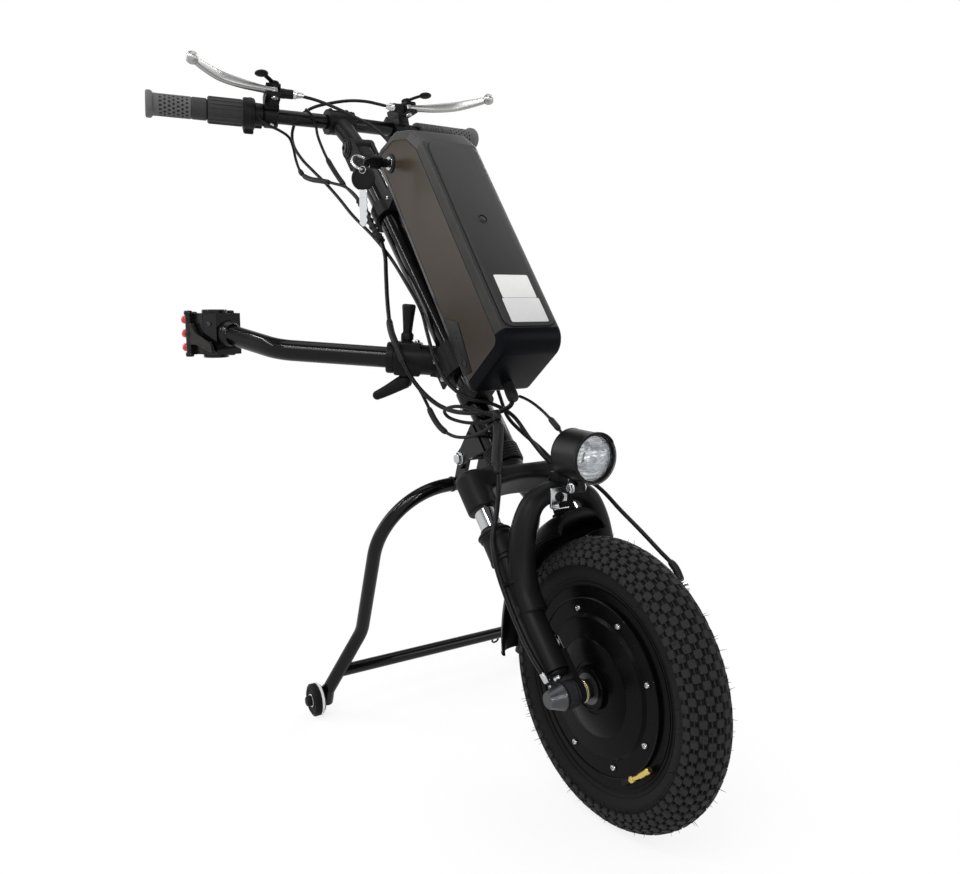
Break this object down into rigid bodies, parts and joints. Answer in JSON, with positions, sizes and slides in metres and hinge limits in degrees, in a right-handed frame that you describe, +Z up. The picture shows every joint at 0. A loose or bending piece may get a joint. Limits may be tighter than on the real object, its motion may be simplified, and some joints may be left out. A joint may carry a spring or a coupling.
{
  "type": "wheelchair power assist",
  "caption": "clip-on electric front wheel that turns a manual wheelchair into a handlebar-steered trike, with a slide-off battery, clamp arms and a folding stand",
  "frame": {"origin": "on the ground under the middle of the length and width", "axes": "x forward, the way the rider faces; y to the rider's left; z up"},
  "size_m": [0.9261, 0.5838, 0.91],
  "materials": {
    "tyre_rubber": "matte rubber with blocks",
    "tube_rubber": "matte",
    "motor_black": "satin black paint on a casting",
    "disc_steel": "turned",
    "valve_brass": "plain",
    "zinc_steel": "bright zinc",
    "copper_winding": "lacquered copper and steel laminations",
    "fork_charcoal": "satin charcoal paint",
    "guard_plastic": "fine grain",
    "bracket_silver": "brushed",
    "light_black": "gloss",
    "lens_clear": "clear, moulded",
    "chrome_tube": "polished",
    "frame_black": "gloss black powder coat",
    "grip_rubber": "matte, moulded dimples",
    "lever_alloy": "polished",
    "trim_plastic": "fine grain",
    "case_brown": "semi-gloss anodised, warm dark grey",
    "cover_grey": "satin charcoal",
    "cell_wrap": "shrink wrap",
    "key_black": "satin",
    "cable_black": "semi-matte sheath",
    "wheel_plastic": "hard rubber with a pale band",
    "jaw_black": "black anodised, red bolt caps"
  },
  "bodies": {
    "frame": {"column_tube": "frame_black", "headset": "trim_plastic", "battery_dock": "frame_black", "arm_bracket": "frame_black", "stand_bracket": "frame_black", "brake_cables": "cable_black", "control_loom": "cable_black", "motor_cable": "cable_black", "headlight_lead": "cable_black"},
    "steering": {"fork_crown": "fork_charcoal", "stanchions": "chrome_tube", "steerer_tube": "zinc_steel", "stem_base": "frame_black"},
    "lowers": {"fork_sliders": "fork_charcoal", "fork_arch": "fork_charcoal", "mudguard": "guard_plastic", "headlight_bracket": "bracket_silver", "brake_caliper": "fork_charcoal", "axle": "trim_plastic", "motor_stator": "copper_winding", "fork_springs": "zinc_steel"},
    "wheel": {"tyre": "tyre_rubber", "inner_tube": "tube_rubber", "hub_rim": "motor_black", "motor_cover_right": "motor_black", "motor_cover_left": "motor_black", "hub_bearings": "zinc_steel", "brake_disc": "disc_steel", "tyre_valve": "valve_brass"},
    "headlight": {"headlight_shell": "light_black", "headlight_lens": "lens_clear"},
    "caliper_lever": {"caliper_arm": "zinc_steel"},
    "handlebar": {"stem_arm": "frame_black", "handlebar_tube": "frame_black", "grips": "grip_rubber", "lever_perches": "trim_plastic"},
    "throttle": {"throttle_sleeve": "grip_rubber"},
    "lever_right": {"brake_lever_right": "lever_alloy"},
    "lever_left": {"brake_lever_left": "lever_alloy"},
    "latch_right": {"park_latch_right": "trim_plastic"},
    "latch_left": {"park_latch_left": "trim_plastic"},
    "battery": {"battery_case": "case_brown", "battery_cover": "cover_grey", "battery_cells": "cell_wrap", "key_lock": "zinc_steel"},
    "key": {"ignition_key": "key_black"},
    "spare": {"spare_key": "zinc_steel"},
    "arm_right_body": {"arm_right": "frame_black"},
    "arm_left_body": {"arm_left": "frame_black"},
    "lock_right": {"lock_handle_right": "trim_plastic"},
    "lock_left": {"lock_handle_left": "trim_plastic"},
    "wing_right": {"wing_knob_right": "trim_plastic"},
    "wing_left": {"wing_knob_left": "trim_plastic"},
    "jaw_right": {"clamp_jaw_right": "jaw_black"},
    "jaw_left": {"clamp_jaw_left": "jaw_black"},
    "clamp_lever_right_body": {"clamp_lever_right": "trim_plastic"},
    "clamp_lever_left_body": {"clamp_lever_left": "trim_plastic"},
    "stand": {"stand_frame": "frame_black"},
    "stand_wheel_right_body": {"stand_wheel_right": "wheel_plastic"},
    "stand_wheel_left_body": {"stand_wheel_left": "wheel_plastic"}
  },
  "joints": [
    {"name": "steering", "type": "hinge", "parent": "frame", "child": "steering", "pos_m": [0.29876, 0, 0.15298], "axis": [-0.6896, 0, 0.7242], "range_deg": [-35, 35], "deforming": ["brake_cables", "control_loom", "motor_cable", "headlight_lead"]},
    {"name": "fork_travel", "type": "slide", "parent": "steering", "child": "lowers", "axis": [-0.6896, 0, 0.7242], "range_m": [0, 0.02], "stiffness_N_per_m": 8000, "springref_m": -0.02, "deforming": ["fork_springs", "brake_cables", "motor_cable", "headlight_lead"]},
    {"name": "wheel_spin", "type": "hinge", "parent": "lowers", "child": "wheel", "pos_m": [0.30456, 0, 0.1585], "axis": [0, 1, 0], "continuous": true},
    {"name": "headlight_tilt", "type": "hinge", "parent": "lowers", "child": "headlight", "pos_m": [0.23553, 0, 0.36059], "axis": [0, 1, 0], "range_deg": [-12, 12], "deforming": ["headlight_lead"]},
    {"name": "caliper_pull", "type": "hinge", "parent": "lowers", "child": "caliper_lever", "pos_m": [0.35614, 0.051, 0.21453], "axis": [0, -1, 0], "range_deg": [0, 22], "deforming": ["brake_cables"]},
    {"name": "stem_tilt", "type": "hinge", "parent": "steering", "child": "handlebar", "pos_m": [-0.31438, 0, 0.79684], "axis": [0, 1, 0], "range_deg": [-30, 30], "deforming": ["brake_cables", "control_loom"]},
    {"name": "throttle_twist", "type": "hinge", "parent": "handlebar", "child": "throttle", "pos_m": [-0.38646, -0.04, 0.84732], "axis": [-0.2248, -0.9738, 0.0349], "range_deg": [0, 60], "stiffness_Nm_per_rad": 0.4, "springref_deg": -5.16},
    {"name": "brake_lever_right", "type": "hinge", "parent": "handlebar", "child": "lever_right", "pos_m": [-0.36675, -0.11426, 0.87928], "axis": [0.2281, -0.0874, -0.9697], "range_deg": [0, 22], "stiffness_Nm_per_rad": 3, "springref_deg": -9.74, "deforming": ["brake_cables"]},
    {"name": "park_latch_right", "type": "hinge", "parent": "handlebar", "child": "latch_right", "pos_m": [-0.36675, -0.11426, 0.87928], "axis": [0.2281, -0.0874, -0.9697], "range_deg": [0, 25]},
    {"name": "brake_lever_left", "type": "hinge", "parent": "handlebar", "child": "lever_left", "pos_m": [-0.36675, 0.11426, 0.87928], "axis": [-0.2281, -0.0874, 0.9697], "range_deg": [0, 22], "stiffness_Nm_per_rad": 3, "springref_deg": -9.74, "deforming": ["brake_cables"]},
    {"name": "park_latch_left", "type": "hinge", "parent": "handlebar", "child": "latch_left", "pos_m": [-0.36675, 0.11426, 0.87928], "axis": [-0.2281, -0.0874, 0.9697], "range_deg": [0, 25]},
    {"name": "battery_slide", "type": "slide", "parent": "frame", "child": "battery", "axis": [-0.6239, 0, 0.7815], "range_m": [0, 0.12], "deforming": ["control_loom"]},
    {"name": "key_turn", "type": "hinge", "parent": "battery", "child": "key", "pos_m": [-0.11797, -0.045, 0.74852], "axis": [0, -1, 0], "range_deg": [0, 90]},
    {"name": "spare_key_swing", "type": "hinge", "parent": "key", "child": "spare", "pos_m": [-0.11797, -0.0795, 0.74852], "axis": [-0.6239, 0, 0.7815], "range_deg": [-20, 20]},
    {"name": "arm_slide_right", "type": "slide", "parent": "frame", "child": "arm_right_body", "axis": [-0.5433, -0.8366, 0.0698], "range_m": [0, 0.03]},
    {"name": "lock_handle_right", "type": "hinge", "parent": "frame", "child": "lock_right", "pos_m": [-0.0806, -0.04518, 0.48755], "axis": [0.038, 0.0585, 0.9976], "range_deg": [0, 90]},
    {"name": "wing_knob_right", "type": "hinge", "parent": "frame", "child": "wing_right", "pos_m": [-0.0806, -0.04518, 0.48755], "axis": [0.038, 0.0585, 0.9976], "continuous": true},
    {"name": "clamp_open_right", "type": "hinge", "parent": "arm_right_body", "child": "jaw_right", "pos_m": [-0.3014, -0.21666, 0.5188], "axis": [0, 0, -1], "range_deg": [0, 75]},
    {"name": "clamp_lever_right", "type": "hinge", "parent": "jaw_right", "child": "clamp_lever_right_body", "pos_m": [-0.30038, -0.27694, 0.5188], "axis": [0, 0, -1], "range_deg": [0, 100]},
    {"name": "arm_slide_left", "type": "slide", "parent": "frame", "child": "arm_left_body", "axis": [-0.5433, 0.8366, 0.0698], "range_m": [0, 0.03]},
    {"name": "lock_handle_left", "type": "hinge", "parent": "frame", "child": "lock_left", "pos_m": [-0.0806, 0.04518, 0.48755], "axis": [0.038, -0.0585, 0.9976], "range_deg": [0, 90]},
    {"name": "wing_knob_left", "type": "hinge", "parent": "frame", "child": "wing_left", "pos_m": [-0.0806, 0.04518, 0.48755], "axis": [0.038, -0.0585, 0.9976], "continuous": true},
    {"name": "clamp_open_left", "type": "hinge", "parent": "arm_left_body", "child": "jaw_left", "pos_m": [-0.3014, 0.21666, 0.5188], "axis": [0, 0, 1], "range_deg": [0, 75]},
    {"name": "clamp_lever_left", "type": "hinge", "parent": "jaw_left", "child": "clamp_lever_left_body", "pos_m": [-0.30038, 0.27694, 0.5188], "axis": [0, 0, 1], "range_deg": [0, 100]},
    {"name": "stand_fold", "type": "hinge", "parent": "frame", "child": "stand", "pos_m": [0.02394, 0, 0.36327], "axis": [0, 1, 0], "range_deg": [0, 70]},
    {"name": "stand_wheel_right", "type": "hinge", "parent": "stand", "child": "stand_wheel_right_body", "pos_m": [-0.10027, -0.17439, 0.022], "axis": [0, 1, 0], "continuous": true},
    {"name": "stand_wheel_left", "type": "hinge", "parent": "stand", "child": "stand_wheel_left_body", "pos_m": [-0.10027, 0.17439, 0.022], "axis": [0, 1, 0], "continuous": true}
  ],
  "couplings": [
    {"joint": "caliper_pull", "follows": "brake_lever_right", "ratio": 1}
  ]
}
